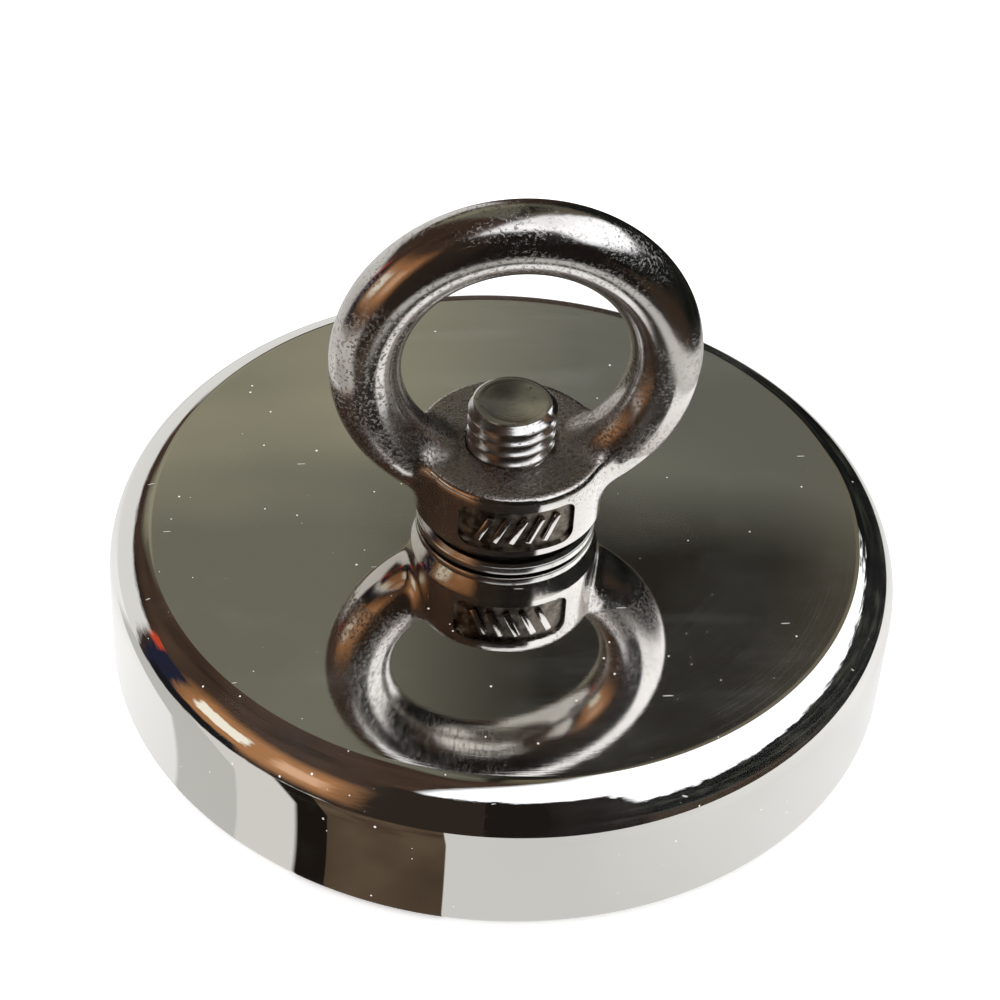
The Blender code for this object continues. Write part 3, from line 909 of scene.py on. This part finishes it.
class FISHING_OT_filling(bpy.types.Operator):
    """Models the epoxy rings, the bond layer and the sleeve"""

    bl_idname = "fishing_magnet.filling"
    bl_label = "Epoxy, bond and sleeve"

    def execute(self, context):
        size = context.scene.fishing_inside
        colours = context.scene.fishing_finishes
        epoxy = black_epoxy(colours)
        for name, node, inner, outer, low, high in (
            ("epoxy_by_wall", "outer_potting", size.outer_epoxy, OUTER_HIGH.x,
             OUTER_LOW.z, OUTER_HIGH.z),
            ("epoxy_by_sleeve", "inner_potting", size.inner_epoxy, INNER_HIGH.x,
             INNER_LOW.z, INNER_HIGH.z),
        ):
            ring = turned_ring(name, inner, outer, low, high, size.meniscus / 2, 192)
            open_edit(ring)
            choose("FACE", lambda f: f.normal.z < -0.9)
            bpy.ops.mesh.inset(thickness=(outer - inner) * 0.12)
            bpy.ops.mesh.inset(thickness=(outer - inner) * 0.14)
            bpy.ops.transform.translate(value=(0.0, 0.0, size.meniscus * 0.7))
            bpy.ops.mesh.inset(thickness=(outer - inner) * 0.12)
            bpy.ops.transform.translate(value=(0.0, 0.0, size.meniscus * 0.3))
            close_edit()
            shade(ring, 40.0)
            hand_over(ring, epoxy, "pot", "potting_epoxy", node)
        bond = turned_ring(
            "bond_layer", size.bond_inner, BOND_HIGH.x, BOND_LOW.z, BOND_HIGH.z,
            size.bond_edge, 192,
        )
        shade(bond, 40.0)
        hand_over(bond, amber_bond(colours), "pot", "bond_epoxy", "magnet_bond_layer")
        sleeve = turned_ring(
            "turned_sleeve", size.sleeve_inner, SLEEVE_HIGH.x, SLEEVE_LOW.z, SLEEVE_HIGH.z,
            size.sleeve_edge, 192,
        )
        shade(sleeve, 35.0)
        steel = turned_steel("Sleeve steel", tuple(colours.sleeve), 0.3, 0.12 * MM)
        hand_over(sleeve, steel, "pot", "sleeve_steel", "centre_sleeve")
        return {"FINISHED"}


class FISHING_OT_bolt(bpy.types.Operator):
    """Models the countersunk bolt with its thread, turned end and hexagon socket"""

    bl_idname = "fishing_magnet.bolt"
    bl_label = "Bolt"

    def execute(self, context):
        size = context.scene.fishing_bolt
        colours = context.scene.fishing_finishes
        low, high = BOLT_LOW.z, BOLT_HIGH.z
        head = BOLT_HIGH.x
        core = size.thread - size.depth
        bolt = cylinder("fine_bolt", head, low, low + size.head_rim, 128)
        open_edit(bolt)
        choose("EDGE", on_ring(head, low))
        round_edges(size.head_edge, 3)
        choose("FACE", cap_at(low + size.head_rim))
        neck = low + size.head_rim + head - core
        draw_out(core - size.sink, neck + size.sink)
        close_edit()
        rod = threaded_rod(
            "bolt_thread", size.thread, size.depth, size.pitch, size.crest, size.root,
            neck - size.pitch, high + size.pitch,
        )
        envelope = cylinder("bolt_envelope", size.thread, neck - 2.0 * size.pitch, high, 128)
        open_edit(envelope)
        choose("EDGE", on_ring(size.thread, high))
        round_edges(size.tip_chamfer, 1)
        choose("EDGE", on_ring(size.thread - size.tip_chamfer, high))
        round_edges(size.tip_break, 3)
        choose("FACE", cap_at(high))
        bpy.ops.mesh.inset(thickness=size.tip_rim)
        bpy.ops.transform.translate(value=(0.0, 0.0, -size.tip_dish * 0.5))
        bpy.ops.mesh.inset(thickness=size.tip_dish * 2.0)
        bpy.ops.transform.translate(value=(0.0, 0.0, -size.tip_dish * 0.5))
        close_edit()
        combine(rod, envelope, "INTERSECT")
        combine(bolt, rod, "UNION")
        corner = size.socket / 2 / math.cos(math.radians(30.0))
        socket = cylinder(
            "hexagon", corner, low - size.socket_depth, low + size.socket_depth, 6
        )
        open_edit(socket)
        choose("FACE", cap_at(low + size.socket_depth))
        bpy.ops.mesh.inset(thickness=size.socket_step)
        draw_out(size.drill_tip, low + size.socket_depth + size.drill_point)
        close_edit()
        combine(bolt, socket, "DIFFERENCE")
        open_edit(bolt)
        tidy_faces()
        close_edit()
        shade(bolt, 32.0)
        steel = turned_steel("Bolt steel", tuple(colours.bolt), 0.15, 0.16 * MM)
        hand_over(bolt, steel, "pot", "bolt_steel", "countersunk_bolt")
        return {"FINISHED"}


class FISHING_OT_washer(bpy.types.Operator):
    """Models the flat washer"""

    bl_idname = "fishing_magnet.washer"
    bl_label = "Washer"

    def execute(self, context):
        size = context.scene.fishing_washer
        colours = context.scene.fishing_finishes
        washer = turned_ring(
            "turned_washer", size.hole, WASHER_HIGH.x, WASHER_LOW.z, WASHER_HIGH.z,
            size.edge, 192,
        )
        shade(washer, 35.0)
        steel = turned_steel("Washer steel", tuple(colours.washer), 0.16, 0.1 * MM)
        hand_over(washer, steel, "washer", "washer_steel", "flat_washer")
        return {"FINISHED"}


class FISHING_OT_eye_nut(bpy.types.Operator):
    """Models the eye nut as one casting: ring, collar, neck, panel and threaded bore"""

    bl_idname = "fishing_magnet.eye_nut"
    bl_label = "Eye nut"

    def execute(self, context):
        size = context.scene.fishing_eye_nut
        bolt = context.scene.fishing_bolt
        colours = context.scene.fishing_finishes
        nut = self.casting(size)
        self.cut_neck_and_bore(nut, size, bolt)
        combine(nut, self.panel_cutter(size), "DIFFERENCE")
        open_edit(nut)
        tidy_faces()
        close_edit()
        shade(nut, 38.0)
        hand_over(
            nut, [cast_stainless(colours, NUT_LOW.z + size.collar_top), recess_shaded_stainless(colours)],
            "eye", "cast_stainless", "eye_nut",
        )
        self.paint_panel_recess_shade(nut, size)
        return {"FINISHED"}

    def casting(self, size):
        """The ring and the collar, made too fat by the fillet and then shrunk, which blends them."""
        section = size.section / 2
        ring_radius = size.hole / 2 + section
        centre = NUT_HIGH.z - ring_radius - section
        top = NUT_LOW.z + size.collar_top
        fat = size.fillet
        nut = cylinder("cast_eye_nut", size.collar + fat, NUT_LOW.z - size.spare, top + fat, 128)
        open_edit(nut)
        choose("EDGE", on_ring(size.collar + fat, top + fat))
        round_edges(size.top_round + fat, 12)
        close_edit()
        start_fresh()
        bpy.ops.mesh.primitive_torus_add(
            major_segments=160, minor_segments=64, major_radius=ring_radius,
            minor_radius=section + fat, location=(0.0, 0.0, centre),
            rotation=(math.pi / 2, 0.0, 0.0),
        )
        combine(nut, settle("ring"), "UNION")
        apply_modifier(nut, "REMESH", mode="VOXEL", voxel_size=size.voxel * 1.2)
        open_edit(nut)
        bpy.ops.mesh.vertices_smooth(factor=0.5, repeat=size.smoothing + 2)
        close_edit()
        apply_modifier(nut, "DISPLACE", strength=-fat, mid_level=0.0)
        apply_modifier(nut, "REMESH", mode="VOXEL", voxel_size=size.voxel)
        open_edit(nut)
        bpy.ops.mesh.vertices_smooth(factor=0.5, repeat=size.smoothing)
        close_edit()
        return nut

    def cut_neck_and_bore(self, nut, size, bolt):
        """One cutter takes the seat, the flared neck and the threaded bore."""
        seat = NUT_LOW.z
        top = seat + size.collar_top
        outside = size.collar + 3.0 * MM
        shoulder = seat + size.neck_height + size.neck_step
        outline = [
            (0.0, seat - size.spare - MM),
            (outside, seat - size.spare - MM),
            (outside, shoulder),
            (size.collar - NEAR, shoulder),
            (size.collar - size.neck_step, seat + size.neck_height),
            (size.neck, seat),
            (0.0, seat),
        ]
        cutter = turned("neck_cutter", outline, 128)
        radius = bolt.thread + size.thread_room
        rod = threaded_rod(
            "nut_thread", radius, bolt.depth, bolt.pitch, bolt.crest + 0.1 * MM, bolt.root,
            seat - MM, top + MM,
        )
        combine(cutter, rod, "UNION")
        wide = radius + size.bore_lead
        lead = wide - radius + bolt.depth
        for name, end, edge, down in (
            ("lower_mouth", seat - MM, seat + 0.1 * MM, 1.0),
            ("upper_mouth", top + 6.0 * MM, top - 0.1 * MM, -1.0),
        ):
            deep = edge + down * lead
            outline = [(0.0, end), (wide, end), (wide, edge), (radius - bolt.depth, deep), (0.0, deep)]
            combine(cutter, turned(name, outline, 96), "UNION")
        combine(nut, cutter, "DIFFERENCE")

    def panel_cutter(self, size):
        """A rounded plate cut to the collar's curve, less the bars that stand up in it."""
        height = NUT_LOW.z + size.panel_rise
        floor = size.collar - size.panel_depth
        plate = block(
            "panel", (size.panel_width, size.collar, size.panel_height),
            (0.0, -size.collar, height),
        )
        open_edit(plate)
        choose("EDGE", lambda e: abs(e.verts[0].co.y - e.verts[1].co.y) > size.collar / 2)
        round_edges(size.panel_corner, 6)
        close_edit()
        core = cylinder(
            "panel_floor", floor, height - size.panel_height, height + size.panel_height, 192
        )
        combine(plate, core, "DIFFERENCE")
        bar = block(
            "bar", (size.mark_width, MM, size.panel_height * size.mark_share),
            (0.0, -(size.collar - size.mark_inset), height), (0.0, size.mark_slant, 0.0),
        )
        open_edit(bar)
        round_edges(size.mark_edge, 2)
        close_edit()
        for number in range(size.marks):
            angle = size.mark_step * (number - (size.marks - 1) / 2)
            combine(plate, turned_copy(bar, f"bar_{number}", angle), "DIFFERENCE")
        bpy.data.objects.remove(bar, do_unlink=True)
        return plate

    def paint_panel_recess_shade(self, nut, size):
        # Gives the recessed panel's faces the darker material, which paints shade in the recess.
        height = NUT_LOW.z + size.panel_rise
        floor = size.collar - size.panel_depth * 0.55

        def in_panel(face):
            point = face.calc_center_median()
            return (
                point.y < 0.0
                and abs(point.z - height) < size.panel_height / 2
                and abs(point.x) < size.panel_width / 2
                and floor - MM < point.xy.length < floor
            )

        open_edit(nut)
        choose("FACE", in_panel)
        nut.active_material_index = 1
        bpy.ops.object.material_slot_assign()
        close_edit()


# The studio


class FISHING_OT_studio(bpy.types.Operator):
    """Sets up the pale floor, the soft light, what the polish reflects, and the camera"""

    bl_idname = "fishing_magnet.studio"
    bl_label = "Studio"

    def execute(self, context):
        settings = context.scene.fishing_studio
        self.floor(settings)
        self.daylight(context, settings)
        self.room(settings)
        self.camera(context, settings)
        return {"FINISHED"}

    def floor(self, settings):
        start_fresh()
        bpy.ops.mesh.primitive_plane_add(size=12.0, location=(0.0, 0.0, CAD_BOX[0][2]))
        floor = settle("floor")
        mix = Mix("Pale floor", settings.floor, 0.0, 0.9)
        mix.set(emission_strength=settings.floor_glow)
        floor.data.materials.append(mix.material)
        floor.visible_glossy = False

    def daylight(self, context, settings):
        world = bpy.data.worlds.new("Daylight")
        world.use_nodes = True
        background = world.node_tree.nodes["Background"]
        background.inputs["Color"].default_value = (1.0, 1.0, 1.0, 1.0)
        background.inputs["Strength"].default_value = settings.daylight
        context.scene.world = world
        context.scene.view_settings.view_transform = "Standard"
        for name, place, size, power in (
            ("Soft light above", (0.12, 0.30, 1.1), 0.9, 3.5),
            ("Soft light left", (-1.0, -0.2, 0.7), 0.7, 1.6),
        ):
            light = bpy.data.lights.new(name, "AREA")
            light.size = size
            light.energy = power
            lamp = bpy.data.objects.new(name, light)
            lamp.location = place
            lamp.rotation_euler = Vector(place).to_track_quat("Z", "Y").to_euler()
            lamp.visible_glossy = False
            context.scene.collection.objects.link(lamp)

    def room(self, settings):
        """What the polish reflects: a dome and a table top that only reflections see."""
        start_fresh()
        bpy.ops.mesh.primitive_uv_sphere_add(segments=96, ring_count=48, radius=1.0)
        dome = settle("reflected_room")
        take(dome)
        bpy.ops.object.shade_smooth()
        dome.data.materials.append(reflected_room(settings.swing))
        start_fresh()
        bpy.ops.mesh.primitive_circle_add(
            vertices=96, radius=settings.table, fill_type="NGON", location=(0, 0, CAD_BOX[0][2])
        )
        table = settle("reflected_table")
        table.data.materials.append(reflected_table(settings.swing))
        for card in (dome, table):
            card.visible_camera = False
            card.visible_diffuse = False
            card.visible_shadow = False
            card.visible_transmission = False

    def camera(self, context, settings):
        data = bpy.data.cameras.new("Camera")
        data.lens = settings.lens
        data.sensor_width = 36.0
        data.clip_start = 0.01
        camera = bpy.data.objects.new("Camera", data)
        flat = settings.distance * math.cos(settings.elevation)
        camera.location = (
            flat * math.sin(settings.swing),
            -flat * math.cos(settings.swing),
            settings.distance * math.sin(settings.elevation) + settings.lift,
        )
        aim = (
            Matrix.Rotation(settings.swing, 4, "Z")
            @ Matrix.Rotation(math.pi / 2 - settings.elevation, 4, "X")
            @ Matrix.Rotation(settings.aim[1], 4, "Y")
            @ Matrix.Rotation(settings.aim[0], 4, "X")
            @ Matrix.Rotation(settings.aim[2], 4, "Z")
        )
        camera.rotation_euler = aim.to_euler()
        context.scene.collection.objects.link(camera)
        context.scene.camera = camera


class FISHING_PT_panel(bpy.types.Panel):
    bl_idname = "FISHING_PT_panel"
    bl_label = "Fishing magnet"
    bl_space_type = "VIEW_3D"
    bl_region_type = "UI"
    bl_category = "Fishing magnet"

    def draw(self, context):
        for operator in OPERATORS:
            self.layout.operator(operator.bl_idname)
        for name in GROUPS:
            group = getattr(context.scene, name)
            box = self.layout.box()
            for field in group.bl_rna.properties.keys():
                if field not in ("rna_type", "name"):
                    box.prop(group, field)


GROUPS = {
    "fishing_pot": PotSizes,
    "fishing_inside": InsideSizes,
    "fishing_bolt": BoltSizes,
    "fishing_washer": WasherSizes,
    "fishing_eye_nut": EyeNutSizes,
    "fishing_finishes": Finishes,
    "fishing_studio": Studio,
}
OPERATORS = (
    FISHING_OT_pot,
    FISHING_OT_magnets,
    FISHING_OT_filling,
    FISHING_OT_bolt,
    FISHING_OT_washer,
    FISHING_OT_eye_nut,
    FISHING_OT_studio,
)


def register():
    for name, group in GROUPS.items():
        bpy.utils.register_class(group)
        setattr(bpy.types.Scene, name, PointerProperty(type=group))
    for made in OPERATORS + (FISHING_PT_panel,):
        bpy.utils.register_class(made)


def unregister():
    for made in reversed(OPERATORS + (FISHING_PT_panel,)):
        bpy.utils.unregister_class(made)
    for name, group in reversed(GROUPS.items()):
        delattr(bpy.types.Scene, name)
        bpy.utils.unregister_class(group)


def main():
    register()
    bpy.ops.fishing_magnet.pot()
    bpy.ops.fishing_magnet.magnets()
    bpy.ops.fishing_magnet.filling()
    bpy.ops.fishing_magnet.bolt()
    bpy.ops.fishing_magnet.washer()
    bpy.ops.fishing_magnet.eye_nut()
    bpy.ops.fishing_magnet.studio()


if __name__ == "__main__":
    main()
